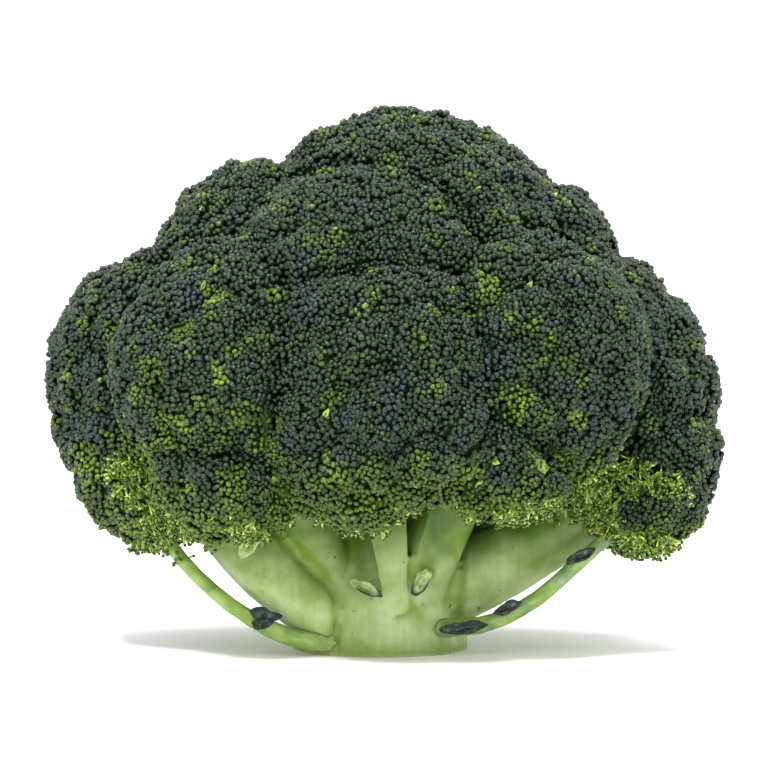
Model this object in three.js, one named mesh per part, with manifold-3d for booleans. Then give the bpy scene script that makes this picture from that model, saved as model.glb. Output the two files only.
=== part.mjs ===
// A broccoli head: a short cut stalk that forks into thick branches, a crown of bud florets packed side by side
// on them, thin side shoots that climb past the branches, and the small leaves left on the stems.
// Millimetres, +Z up, the front of the head towards -Y. The origin is the middle of the cut face it stands on.
import * as THREE from "three";
import { mergeVertices } from "three/addons/utils/BufferGeometryUtils.js";
import Module from "manifold-3d";

const wasm = await Module();
wasm.setup();

// Driving dimensions.
const GAP = 0.3; // free space kept between two pieces that touch
const FORK = new THREE.Vector3(0, 0, 14); // where the stalk divides, which every floret points away from
const TRUNK = [
  // radius and height up the trunk: a bevelled cut end, then a slow taper behind the feet of the branches
  [19.8, 0],
  [20.6, 0.8],
  [20.4, 5],
  [20.2, 10],
  [19.8, 15],
  [19, 20],
  [17.5, 25],
  [15, 31],
  [12, 37],
  [8, 42],
];
const RIDGE = { count: 8, foot: 0.015, top: 0.06 }; // one ridge runs down the trunk under each branch
const TRUNK_SIDES = 48;
const STEM_SIDES = 18;
const STEM_RINGS = 8;
const SHOOT_SIDES = 8;
const SHOOT_RINGS = 12;
const FLORET_DETAIL = 3; // subdivisions of the icosahedron under each floret
const FLORET_LUMP = 0.03; // how far a floret's skin waves in and out, as a share of its radius
const UNDERSIDE = { from: -0.45, squash: 0.35 }; // past this cosine from its axis a floret draws in to its stem
const BLOCK = 400; // side of the block that trims along a plane

const COLOURS = {
  bud: 0x3b4d3f,
  stalk: 0xa9bd84,
  shoot: 0x86a566,
  leaf: 0x4d6157,
};

// Branches of the stalk: a quadratic curve from, bend, to, and the radius at each.
const BRANCHES = [
  { from: [-11, -12.5, 8], bend: [-25, -14, 15.8], to: [-44.5, -13, 47], radii: [6.5, 10, 10] }, // thick, left
  { from: [13, -2, 14.5], bend: [30, -9, 20.5], to: [57, -9, 38.5], radii: [10, 9, 6] }, // thick, right
  { from: [-9, -9, 17], bend: [-15, -15, 27], to: [-27, -32, 53], radii: [7, 4.6, 7] }, // front left
  { from: [4, -19, 11], bend: [4, -25, 22], to: [-2, -38, 52], radii: [3.2, 3.6, 8] }, // front
  { from: [8, -11, 15], bend: [12.5, -20, 27], to: [26, -32, 54], radii: [8, 5.6, 7] }, // front right
  { from: [-12, 12, 14], bend: [-24, 22, 22], to: [-36, 33, 48], radii: [10, 8, 8] }, // back left
  { from: [1, 14, 14], bend: [3, 26, 22], to: [3, 42, 50], radii: [9, 7.5, 8] }, // back
  { from: [12, 12, 14], bend: [26, 21, 22], to: [38, 32, 48], radii: [10, 8, 8] }, // back right
  { from: [0, 0, 30], bend: [1, 0, 45], to: [4, 0, 70], radii: [14, 11, 11] }, // up the middle
];

// Thin shoots with a bud cluster of their own at the tip.
const SHOOTS = [
  {
    name: "side_shoot_left",
    points: [[-2, -11, 3.2], [-12, -16.3, 3.2], [-21.5, -18.6, 4.8], [-32.5, -20, 10.6], [-43.5, -19.5, 19.8], [-53, -17, 31]],
    radii: [2.7, 1.7, 1.5],
  },
  {
    name: "side_shoot_right",
    points: [[4, -10, 5.6], [14, -14.6, 6.4], [25.2, -19.4, 7.9], [35.8, -20, 13.1], [46.6, -19, 22.2], [57.5, -17, 31.5]],
    radii: [2.7, 1.6, 1.8],
  },
  {
    name: "side_shoot_back",
    points: [[4, 15, 4], [6.5, 30, 9], [6, 38, 16.5], [4, 44, 24], [2, 50, 32]],
    radii: [2.4, 1.8, 1.8],
  },
];

// Each floret is the part of a ball that lies nearer to it than to any other, by power distance.
const FLORETS = [
  { name: "floret_crown", at: [6, 0, 87.6], radius: 42.2 },
  { name: "floret_top_left", at: [-27, -3, 88], radius: 28.6 },
  { name: "floret_top_right", at: [32, 4, 86], radius: 27.3 },
  { name: "floret_top_front", at: [-3, -22, 83], radius: 34.5 },
  { name: "floret_top_back", at: [-2, 24, 81], radius: 35 },
  { name: "floret_left", at: [-43, -1, 63], radius: 35.6 },
  { name: "floret_front_left", at: [-31, -30, 67.5], radius: 31.5 },
  { name: "floret_front", at: [1, -40, 64], radius: 32.5 },
  { name: "floret_front_right", at: [31, -30, 69.5], radius: 32 },
  { name: "floret_right", at: [46, 0, 62.5], radius: 34 },
  { name: "floret_back_right", at: [32, 33, 66], radius: 32 },
  { name: "floret_back", at: [0, 43, 62], radius: 32.5 },
  { name: "floret_back_left", at: [-32, 33, 66], radius: 32 },
  { name: "floret_low_left", at: [-51, -9, 46], radius: 21.5 },
  { name: "floret_low_front_left", at: [-32.5, -33, 49], radius: 21.5 },
  { name: "floret_low_front", at: [-4, -43, 50], radius: 20.5 },
  { name: "floret_low_front_right", at: [27, -37, 54], radius: 21.5 },
  { name: "floret_low_right", at: [58, -7, 46.5], radius: 22.6 },
  { name: "floret_hanging_right", at: [62.5, -17, 37.8], radius: 14.5 },
  { name: "floret_low_back_right", at: [44, 30, 46], radius: 23 },
  { name: "floret_low_back", at: [5, 49, 45], radius: 22 },
  { name: "floret_low_back_left", at: [-42, 31, 46], radius: 23 },
];

// Small leaves and leaf scars: where each sits, the way its blade points, and its length, width and thickness.
const LEAVES = [
  { name: "leaf_front_left", at: [-29.5, -24, 29], along: [0.5, -0.15, 1], out: [-0.3, -1, 0], size: [11, 5, 1.6] },
  { name: "leaf_front", at: [-3, -22.9, 16.4], along: [1, -0.1, -0.5], out: [0, -1, 0.3], size: [8, 3.2, 1.8] },
  { name: "leaf_front_right", at: [10, -22.6, 18.6], along: [0.5, -0.1, 1], out: [0.3, -1, 0], size: [7.5, 4, 1.8] },
  { name: "leaf_scar_left", at: [-27, -21.4, 9.3], along: [1, 0, 0.12], out: [0, -1, 0.35], size: [7, 4.4, 1.8] },
  { name: "leaf_scar_right", at: [20, -20.2, 7.2], along: [1, -0.2, 0.15], out: [0, -1, -0.1], size: [11, 3.4, 2] },
  { name: "leaf_scar_right_upper", at: [30, -21.8, 11.9], along: [1, 0, 0.45], out: [0, -1, 0.3], size: [6.5, 3, 1.8] },
  { name: "leaf_scar_right_tip", at: [47.3, -20.6, 24], along: [1, 0.1, 0.5], out: [0, -1, 0.2], size: [7, 3, 1.8] },
  { name: "leaf_back", at: [-8, 27.5, 20], along: [-0.6, 0.1, 1], out: [0, 1, 0.1], size: [9, 4.5, 1.8] },
];

function solidOf(geometry) {
  geometry.deleteAttribute("normal");
  geometry.deleteAttribute("uv");
  const merged = mergeVertices(geometry, 1e-4);
  return new wasm.Manifold(
    new wasm.Mesh({
      numProp: 3,
      vertProperties: new Float32Array(merged.attributes.position.array),
      triVerts: new Uint32Array(merged.index.array),
    }),
  );
}

// A named mesh whose own origin is the place given, so that it can be picked up and set down by its position.
function pieceOf(solid, name, material, origin) {
  const mesh = solid.getMesh();
  const geometry = new THREE.BufferGeometry();
  geometry.setAttribute("position", new THREE.BufferAttribute(new Float32Array(mesh.vertProperties), 3));
  geometry.setIndex(new THREE.BufferAttribute(new Uint32Array(mesh.triVerts), 1));
  geometry.translate(-origin.x, -origin.y, -origin.z);
  geometry.computeVertexNormals();
  const piece = new THREE.Mesh(geometry, material);
  piece.name = name;
  piece.position.copy(origin);
  return piece;
}

function moveVertices(geometry, move) {
  const position = geometry.attributes.position;
  const vertex = new THREE.Vector3();
  for (let i = 0; i < position.count; i++) {
    move(vertex.fromBufferAttribute(position, i));
    position.setXYZ(i, vertex.x, vertex.y, vertex.z);
  }
  return geometry;
}

function quadratic(values, t) {
  return (1 - t) ** 2 * values[0] + 2 * t * (1 - t) * values[1] + t ** 2 * values[2];
}

// A closed tapering stem along a curve. The cylinder's own height becomes the way along the curve.
function stemSolid(curve, radii, sides, rings, growth) {
  const frames = curve.computeFrenetFrames(rings);
  const geometry = new THREE.CylinderGeometry(1, 1, rings, sides, rings);
  moveVertices(geometry, (vertex) => {
    const ring = Math.round(vertex.y + rings / 2);
    const t = ring / rings;
    const radius = quadratic(radii, t) + growth;
    const centre = curve.getPointAt(t).addScaledVector(frames.tangents[ring], growth * (2 * t - 1));
    const side = frames.normals[ring].clone().multiplyScalar(vertex.x * radius);
    const depth = frames.binormals[ring].clone().multiplyScalar(-vertex.z * radius);
    vertex.copy(centre).add(side).add(depth);
  });
  return solidOf(geometry);
}

function branchSolid(branch, growth) {
  const [from, bend, to] = [branch.from, branch.bend, branch.to].map((p) => new THREE.Vector3(...p));
  const curve = new THREE.QuadraticBezierCurve3(from, bend, to);
  return stemSolid(curve, branch.radii, STEM_SIDES, STEM_RINGS, growth);
}

function shootSolid(shoot, growth) {
  const curve = new THREE.CatmullRomCurve3(shoot.points.map((p) => new THREE.Vector3(...p)));
  return stemSolid(curve, shoot.radii, SHOOT_SIDES, SHOOT_RINGS, growth);
}

// The trunk: a turned shape whose ridges deepen upwards until they run out into the branches.
function trunkSolid(growth) {
  const [, height] = TRUNK[TRUNK.length - 1];
  const profile = TRUNK.map(([radius, z]) => new THREE.Vector2(radius, z));
  const geometry = new THREE.LatheGeometry(
    [new THREE.Vector2(0, 0), ...profile, new THREE.Vector2(0, height)],
    TRUNK_SIDES,
  );
  geometry.rotateX(Math.PI / 2);
  moveVertices(geometry, (vertex) => {
    const turn = Math.atan2(vertex.y, vertex.x);
    const radius = Math.hypot(vertex.x, vertex.y);
    const depth = RIDGE.foot + (RIDGE.top - RIDGE.foot) * Math.min(1, vertex.z / 21);
    const ridged = radius * (1 + depth * Math.cos(RIDGE.count * turn)) + (radius > 1 ? growth : 0);
    vertex.set(ridged * Math.cos(turn), ridged * Math.sin(turn), vertex.z + (vertex.z > 1 ? growth : 0));
  });
  return solidOf(geometry);
}

// A block whose near face passes through the point and faces back along the normal.
function blockBeyond(point, normal) {
  const block = new THREE.BoxGeometry(BLOCK, BLOCK, BLOCK);
  const turn = new THREE.Quaternion().setFromUnitVectors(new THREE.Vector3(0, 0, 1), normal);
  block.applyQuaternion(turn);
  const middle = point.clone().addScaledVector(normal, BLOCK / 2);
  block.translate(middle.x, middle.y, middle.z);
  return solidOf(block);
}

function stalkSolid(growth) {
  const grown = BRANCHES.reduce((sum, branch) => sum.add(branchSolid(branch, growth)), trunkSolid(growth));
  const floor = blockBeyond(new THREE.Vector3(0, 0, 0), new THREE.Vector3(0, 0, -1));
  return grown.subtract(floor);
}

// Low waves over a floret, different on each one.
function lump(direction, phase) {
  const across = Math.sin(4.1 * direction.x + phase) * Math.sin(3.7 * direction.y + 1.7 * phase);
  return across + 0.7 * Math.sin(5.3 * direction.z + 2.3 * phase);
}

function floretBall(floret, phase) {
  const centre = new THREE.Vector3(...floret.at);
  const axis = centre.clone().sub(FORK).normalize();
  const geometry = new THREE.IcosahedronGeometry(1, FLORET_DETAIL);
  moveVertices(geometry, (vertex) => {
    const direction = vertex.clone().normalize();
    const behind = Math.max(0, UNDERSIDE.from - direction.dot(axis));
    const radius = floret.radius * (1 + FLORET_LUMP * lump(direction, phase)) * (1 - UNDERSIDE.squash * behind);
    vertex.copy(centre).addScaledVector(direction, radius);
  });
  return solidOf(geometry);
}

// The ball less everything past the plane that divides it from each neighbour, and less the stems that enter it.
function floretSolid(floret, index, space) {
  const centre = new THREE.Vector3(...floret.at);
  let solid = floretBall(floret, index);
  for (const other of FLORETS) {
    const away = new THREE.Vector3(...other.at).sub(centre);
    const distance = away.length();
    if (other === floret || distance > floret.radius + other.radius) continue;
    const share = (distance ** 2 + floret.radius ** 2 - other.radius ** 2) / (2 * distance);
    away.normalize();
    const plane = centre.clone().addScaledVector(away, share - GAP / 2);
    solid = solid.subtract(blockBeyond(plane, away));
  }
  return largestOf(solid.subtract(space));
}

function largestOf(solid) {
  return solid.decompose().reduce((best, one) => (one.volume() > best.volume() ? one : best));
}

// A small leaf: a pointed, slightly cupped oval that lies against a stem.
function leafSolid(leaf, growth) {
  const [length, width, thickness] = leaf.size.map((side) => side + 2 * growth);
  const along = new THREE.Vector3(...leaf.along).normalize();
  const out = new THREE.Vector3(...leaf.out);
  out.addScaledVector(along, -out.dot(along)).normalize();
  const across = new THREE.Vector3().crossVectors(along, out);
  const geometry = new THREE.SphereGeometry(1, 12, 8);
  geometry.applyMatrix4(new THREE.Matrix4().makeBasis(across, along, out.clone()));
  moveVertices(geometry, (vertex) => {
    const [u, v, w] = [vertex.dot(across), vertex.dot(along), vertex.dot(out)];
    const narrow = v > 0 ? 1 - 0.75 * v * v : 1;
    const cup = 0.5 * thickness * u * u;
    vertex
      .set(...leaf.at)
      .addScaledVector(across, (u * narrow * width) / 2)
      .addScaledVector(along, (v * length) / 2)
      .addScaledVector(out, (w * thickness) / 2 + cup);
  });
  return solidOf(geometry);
}

function materialOf(colour, roughness) {
  return new THREE.MeshStandardMaterial({ color: colour, roughness, metalness: 0 });
}

const budMaterial = materialOf(COLOURS.bud, 0.75);
const stalkMaterial = materialOf(COLOURS.stalk, 0.5);
const shootMaterial = materialOf(COLOURS.shoot, 0.5);
const leafMaterial = materialOf(COLOURS.leaf, 0.6);

const stalk = stalkSolid(0);
const stalkSpace = stalkSolid(GAP);
const shootSpace = SHOOTS.map((shoot) => shootSolid(shoot, GAP)).reduce((sum, shoot) => sum.add(shoot));
const leafSpace = LEAVES.map((leaf) => leafSolid(leaf, GAP)).reduce((sum, leaf) => sum.add(leaf));
const stemSpace = stalkSpace.add(shootSpace);
const spaceInCrown = stemSpace.add(leafSpace);

const broccoli = new THREE.Group();
broccoli.name = "broccoli_head";

broccoli.add(pieceOf(stalk, "stalk", stalkMaterial, new THREE.Vector3(0, 0, 0)));

const shoots = new THREE.Group();
for (const shoot of SHOOTS) {
  const solid = largestOf(shootSolid(shoot, 0).subtract(stalkSpace));
  shoots.add(pieceOf(solid, shoot.name, shootMaterial, new THREE.Vector3(...shoot.points[0])));
}
broccoli.add(shoots);

const crown = new THREE.Group();
FLORETS.forEach((floret, index) => {
  const solid = floretSolid(floret, index, spaceInCrown);
  crown.add(pieceOf(solid, floret.name, budMaterial, new THREE.Vector3(...floret.at)));
});
broccoli.add(crown);

const leaves = new THREE.Group();
for (const leaf of LEAVES) {
  const solid = largestOf(leafSolid(leaf, 0).subtract(stemSpace));
  leaves.add(pieceOf(solid, leaf.name, leafMaterial, new THREE.Vector3(...leaf.at)));
}
broccoli.add(leaves);

export default broccoli;
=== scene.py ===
"""A broccoli head on its cut stalk: closed flower buds packed over a domed crown, sprays of thread-thin stems
where the crown opens at its rim, a pale forked stalk, three side shoots, and the small leaves and leaf scars
left on them.

Metres, +Z up, the front of the head towards -Y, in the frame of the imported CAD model."""
import math

import bpy
import numpy as np
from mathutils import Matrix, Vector, noise
from mathutils.bvhtree import BVHTree
from mathutils.kdtree import KDTree


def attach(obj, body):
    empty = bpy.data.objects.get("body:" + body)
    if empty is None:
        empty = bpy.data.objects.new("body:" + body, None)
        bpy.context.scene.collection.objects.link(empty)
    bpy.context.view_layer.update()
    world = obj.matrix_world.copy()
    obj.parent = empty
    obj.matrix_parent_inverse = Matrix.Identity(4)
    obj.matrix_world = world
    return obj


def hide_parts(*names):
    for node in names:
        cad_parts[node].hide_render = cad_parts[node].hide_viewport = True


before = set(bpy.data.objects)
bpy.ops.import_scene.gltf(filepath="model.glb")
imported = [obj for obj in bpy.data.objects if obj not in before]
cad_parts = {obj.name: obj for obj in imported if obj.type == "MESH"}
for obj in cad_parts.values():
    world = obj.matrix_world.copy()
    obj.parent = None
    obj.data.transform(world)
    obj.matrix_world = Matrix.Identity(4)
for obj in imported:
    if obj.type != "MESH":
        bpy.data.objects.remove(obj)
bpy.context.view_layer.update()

MM = 0.001
rng = np.random.default_rng(11)

SHOOTS = ["side_shoot_left", "side_shoot_right", "side_shoot_back"]
FLORETS = sorted(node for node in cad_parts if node.startswith("floret_"))
LEAVES = sorted(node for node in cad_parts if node.startswith("leaf_"))
FRESH_LEAVES = ["leaf_front_left", "leaf_back"]
STUBS = ["leaf_front", "leaf_front_right"]  # leaves broken off short: pale inside, with a dark lower edge

# The crown. Clusters are the humps on a floret, and bunches the small groups of buds on a cluster.
HEART = np.array([0, 0, 48 * MM])  # buds cover what faces away from here, and stems what faces towards it
RIM_TOP = 50 * MM  # above this height the crown has no open underside
CLUSTER = {"apart": 12 * MM, "reach": 7.5 * MM, "depth": 1.8 * MM}
BUNCH = {"apart": 4.6 * MM, "reach": 2.8 * MM, "depth": 0.6 * MM}

# The buds.
BUD_APART = 0.81 * MM
BUD_SWELL = 0.69  # a bud's radius as a share of the way to its neighbours, so that they press together
BUD_RADII = (0.36 * MM, 0.92 * MM)  # the smallest and the largest
NEIGHBOURS = 5  # the number of nearest buds that set a bud's size
FLORET_FOLD = 26  # the number of nearest buds that tell whether a bud is close to another floret

# The sprays.
SPRAY_REACH = 5 * MM  # how far from a floret a tuft may stand
STEMS_IN_TUFT = 10
STEM_RADII = (0.2 * MM, 0.31 * MM)
STEM_TAPER = np.array([[1.5, 1.1, 0.95, 1.2]])  # thickness along a stem, from its root to its bud
LOWEST_STEM_END = 3 * MM

# Places on the front of the crown, by x, z and reach in millimetres.
FRONT_SPRAYS = [
    (31, 36, 5.5), (37, 36, 6), (43, 37, 6.5), (49, 39, 6.5), (52, 45, 5), (57, 43, 6), (63, 43, 5),
    (69, 41, 4), (66, 26, 5), (58, 27, 5), (52, 31, 4.5), (-54, 38, 6), (-50, 33, 7), (-45, 29, 6),
    (-60, 44, 5), (-30, 31, 5),
]
FRONT_YOUNG = [
    (-54, 46, 12), (-69, 45, 8), (-47, 55, 8), (-60, 58, 5), (63, 27, 7), (47, 42, 10), (-38, 68, 5),
    (-30, 58, 6), (-46, 78, 5), (26, 88, 6), (30, 62, 6), (-34, 44, 6), (20, 76, 4), (-38, 86, 4),
    (-52, 68, 5), (45, 58, 4),
]

# Folds down the front of the stalk, between the trunk and the branches beside it, as runs of x and z in mm.
FRONT_FOLDS = [[(-10, 1), (-10.5, 14), (-14, 21), (-20, 27)], [(18.5, 3), (19, 16), (18.5, 28)]]


# ---------------------------------------------------------------- tools for pieces

def deselect_all():
    if bpy.context.mode != "OBJECT":
        bpy.ops.object.mode_set(mode="OBJECT")
    bpy.ops.object.select_all(action="DESELECT")


def pick(piece):
    deselect_all()
    piece.select_set(True)
    bpy.context.view_layer.objects.active = piece


def apply_modifier(piece, kind, **settings):
    pick(piece)
    modifier = piece.modifiers.new(kind.lower(), kind)
    for name, value in settings.items():
        setattr(modifier, name, value)
    bpy.ops.object.modifier_apply(modifier=modifier.name)


def edit(piece, *steps):
    """Runs edit-mode operators on the whole piece."""
    pick(piece)
    bpy.ops.object.mode_set(mode="EDIT")
    bpy.ops.mesh.select_all(action="SELECT")
    for step in steps:
        step()
    bpy.ops.object.mode_set(mode="OBJECT")


def copy_of(node, name):
    """A CAD node's own shape as a new piece, with its loose triangles merged into one skin."""
    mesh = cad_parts[node].data.copy()
    mesh.materials.clear()
    mesh.name = name
    piece = bpy.data.objects.new(name, mesh)
    bpy.context.collection.objects.link(piece)
    edit(piece, lambda: bpy.ops.mesh.remove_doubles(threshold=0.01 * MM))
    return piece


def regrow(piece, voxel, rounds):
    """Makes the piece one closed skin of even faces, and smooths it that many times."""
    apply_modifier(piece, "REMESH", mode="VOXEL", voxel_size=voxel)
    apply_modifier(piece, "SMOOTH", factor=0.5, iterations=rounds)


def joined(pieces, name):
    pick(pieces[0])
    for piece in pieces:
        piece.select_set(True)
    bpy.ops.object.join()
    whole = bpy.context.view_layer.objects.active
    whole.name = whole.data.name = name
    return whole


def points_of(piece):
    points = np.empty(len(piece.data.vertices) * 3)
    piece.data.vertices.foreach_get("co", points)
    return points.reshape(-1, 3)


def normals_of(piece):
    normals = np.empty(len(piece.data.vertices) * 3)
    piece.data.vertices.foreach_get("normal", normals)
    return normals.reshape(-1, 3)


def triangles_of(piece):
    piece.data.calc_loop_triangles()
    corners = np.empty(len(piece.data.loop_triangles) * 3, dtype=np.int32)
    piece.data.loop_triangles.foreach_get("vertices", corners)
    return corners.reshape(-1, 3)


def set_points(piece, points):
    piece.data.vertices.foreach_set("co", np.ascontiguousarray(points, dtype=np.float64).ravel())
    piece.data.update()


def paint(piece, name, *values):
    """Stores three numbers per vertex for the piece's material to read as a colour."""
    colours = np.ones((len(piece.data.vertices), 4))
    for channel, value in enumerate(values):
        colours[:, channel] = value
    layer = piece.data.attributes.new(name, "FLOAT_COLOR", "POINT")
    layer.data.foreach_set("color", colours.ravel())


def finish_piece(piece, material, slot, *nodes):
    piece.data.materials.clear()
    piece.data.materials.append(material)
    piece.data.shade_smooth()
    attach(piece, "root")
    if nodes:
        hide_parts(*nodes)


def unit(vectors):
    return vectors / np.maximum(np.linalg.norm(vectors, axis=-1, keepdims=True), 1e-12)


def smoothstep(low, high, values):
    t = np.clip((values - low) / (high - low), 0, 1)
    return t * t * (3 - 2 * t)


def noise_at(points, size, seed=0.0):
    """Smooth noise from -1 to 1 whose lumps are about that size."""
    return np.array([noise.noise(Vector(p) / size + Vector((seed, 1.7 * seed, -seed))) for p in points])


class Nearest:
    """Finds the nearest few of a fixed set of points."""

    def __init__(self, points):
        self.tree = KDTree(len(points))
        for i, point in enumerate(points):
            self.tree.insert(point, i)
        self.tree.balance()

    def find(self, points, count):
        found = [self.tree.find_n(point, count) for point in points]
        index = np.array([[hit[1] for hit in hits] for hits in found])
        distance = np.array([[hit[2] for hit in hits] for hits in found])
        return index, distance


def spread(points, gaps, order):
    """Picks points in that order, each at least its gap from those picked before."""
    cell = float(np.max(gaps))
    cells = {}
    picked = []
    keys = np.floor(points / cell).astype(int).tolist()
    places = points.tolist()
    for i in order:
        x, y, z = keys[i]
        px, py, pz = places[i]
        gap = gaps[i]
        clear = True
        for key in ((x + a, y + b, z + c) for a in (0, -1, 1) for b in (0, -1, 1) for c in (0, -1, 1)):
            for qx, qy, qz, other in cells.get(key, ()):
                apart = (gap + other) / 2
                if (px - qx) ** 2 + (py - qy) ** 2 + (pz - qz) ** 2 < apart * apart:
                    clear = False
                    break
            if not clear:
                break
        if clear:
            cells.setdefault((x, y, z), []).append((px, py, pz, gap))
            picked.append(i)
    return np.array(picked)


def frames_for(normals, turns):
    """Two side directions for each normal, turned about it."""
    helper = np.where(np.abs(normals[..., 2:]) < 0.9, [0.0, 0.0, 1.0], [1.0, 0.0, 0.0])
    side = unit(np.cross(helper, normals))
    other = np.cross(normals, side)
    cos, sin = np.cos(turns)[..., None], np.sin(turns)[..., None]
    return cos * side + sin * other, cos * other - sin * side


def copies_at(points, centres, *axes):
    """A small shape's points at each centre, with its x, y and z along the three axes of that centre."""
    placed = centres[:, None]
    for distance, axis in zip(points.T, axes):
        placed = placed + distance[None, :, None] * axis[:, None]
    return placed


def rise_of(points):
    """How high each point of a small shape is, from 0 at its foot to 1 at its tip."""
    return (points[:, 2] - points[:, 2].min()) / np.ptp(points[:, 2])


def repeat_shape(name, placed, faces, map_one, attribute, *values):
    """Many copies of one shape as one piece. Each copy has its own cell of the piece's OFBake map."""
    count, size = placed.shape[:2]
    indices = (faces[None] + size * np.arange(count)[:, None, None]).reshape(-1, 3)
    mesh = bpy.data.meshes.new(name)
    mesh.from_pydata(placed.reshape(-1, 3), [], indices)
    mesh.update()
    piece = bpy.data.objects.new(name, mesh)
    bpy.context.collection.objects.link(piece)
    paint(piece, attribute, *(np.broadcast_to(value, (count, size)).ravel() for value in values))
    cells = math.ceil(math.sqrt(count))
    corner = np.stack([np.arange(count) % cells, np.arange(count) // cells], axis=1)
    map_all = (corner[:, None] + map_one[None]) / cells
    mesh.uv_layers.new(name="OFBake").data.foreach_set("uv", map_all.ravel())
    return piece


def tube_shape(sides, rings):
    """The faces of a closed tube, and the place of each corner on its map. Its points are its rings and then
    its two ends."""
    faces, corners = [], []
    levels = np.linspace(0.1, 0.9, rings)
    for side in range(sides):
        after = (side + 1) % sides
        left, right = (side + 0.1) / (sides + 0.2), (side + 1.1) / (sides + 0.2)
        for ring in range(rings - 1):
            low, high = ring * sides, (ring + 1) * sides
            faces += [(low + side, low + after, high + after), (low + side, high + after, high + side)]
            below, above = levels[ring], levels[ring + 1]
            corners += [(left, below), (right, below), (right, above)]
            corners += [(left, below), (right, above), (left, above)]
        last = (rings - 1) * sides
        faces += [(after, side, rings * sides), (last + side, last + after, rings * sides + 1)]
        corners += [(right, 0.1), (left, 0.1), ((left + right) / 2, 0.02)]
        corners += [(left, 0.9), (right, 0.9), ((left + right) / 2, 0.98)]
    return np.array(faces), np.array(corners)


def make_tubes(name, paths, radii, sides, attribute, *values):
    """Many thin stems as one piece. Paths are stems by rings by three, and radii stems by rings."""
    count, rings = radii.shape
    along = unit(np.gradient(paths, axis=1))
    side, other = frames_for(along, np.zeros((count, rings)))
    turns = np.arange(sides) * 2 * np.pi / sides
    circle = np.cos(turns)[:, None] * side[:, :, None] + np.sin(turns)[:, None] * other[:, :, None]
    walls = paths[:, :, None] + radii[:, :, None, None] * circle
    start = paths[:, :1] - along[:, :1] * radii[:, :1, None] * 0.5
    end = paths[:, -1:] + along[:, -1:] * radii[:, -1:, None] * 0.5
    placed = np.concatenate([walls.reshape(count, -1, 3), start, end], axis=1)
    faces, corners = tube_shape(sides, rings)
    level = np.concatenate([np.repeat(np.linspace(0, 1, rings), sides), [0, 1]])
    return repeat_shape(name, placed, faces, corners, attribute, level[None], *values)


def curves_between(start, bend, end, rings):
    """Smooth curves from start to end, drawn towards a bend."""
    t = np.linspace(0, 1, rings)[None, :, None]
    return (1 - t) ** 2 * start[:, None] + 2 * t * (1 - t) * bend[:, None] + t ** 2 * end[:, None]


# ---------------------------------------------------------------- tools for materials

BLEND = {"data_type": "RGBA"}
MULTIPLY_ALL = {**BLEND, "blend_type": "MULTIPLY", "Factor": 1.0}


def colour(code):
    """An sRGB hex value as the linear colour that the shader takes."""
    parts = [int(code[i:i + 2], 16) / 255 for i in (0, 2, 4)]
    return [c / 12.92 if c <= 0.04045 else ((c + 0.055) / 1.055) ** 2.4 for c in parts] + [1.0]


def socket_of(node, name):
    """An input by its number, or the one in use that has that name."""
    if isinstance(name, int):
        return node.inputs[name]
    return next(s for s in node.inputs if s.enabled and s.name == name)


def add_node(tree, kind, settings=(), links=()):
    """Adds a node. A setting is one of its properties, a socket's value, or the stops of a colour ramp.
    A link joins a socket to a node or to one of its outputs."""
    node = tree.nodes.new("ShaderNode" + kind)
    for name, value in dict(settings).items():
        if name == "stops":
            elements = node.color_ramp.elements
            elements[0].position, elements[1].position = value[0][0], value[-1][0]
            for place, _ in value[1:-1]:
                elements.new(place)
            for element, (_, code) in zip(elements, value):
                element.color = colour(code)
        elif isinstance(name, str) and hasattr(node, name):
            setattr(node, name, value)
        else:
            socket_of(node, name).default_value = colour(value) if isinstance(value, str) else value
    for name, source in dict(links).items():
        if isinstance(source, bpy.types.Node):
            source = next(s for s in source.outputs if s.enabled)
        tree.links.new(source, socket_of(node, name))
    return node


def start_material(name, roughness, ior, specular):
    """A new material with its shader set, and the place on the piece, in metres, that its patterns read."""
    material = bpy.data.materials.new(name)
    material.use_nodes = True
    tree = material.node_tree
    shader = tree.nodes["Principled BSDF"]
    shader.inputs["Roughness"].default_value = roughness
    shader.inputs["IOR"].default_value = ior
    shader.inputs["Specular IOR Level"].default_value = specular
    place = add_node(tree, "TexCoord").outputs["Object"]
    return material, tree, shader, place


def finish_material(tree, shader, skin, height, depth):
    """Joins the last colour, and a bump of that depth, to the shader."""
    tree.links.new(next(s for s in skin.outputs if s.enabled), shader.inputs["Base Color"])
    relief = add_node(tree, "Bump", {"Strength": 1.0, "Distance": depth}, {"Height": height})
    tree.links.new(relief.outputs[0], shader.inputs["Normal"])


def let_light_through(shader, share, colour_reach, depth):
    """Light sinks in to that depth and comes out again, as it does through wet green flesh."""
    shader.inputs["Subsurface Weight"].default_value = share
    shader.inputs["Subsurface Radius"].default_value = colour_reach
    shader.inputs["Subsurface Scale"].default_value = depth


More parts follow.
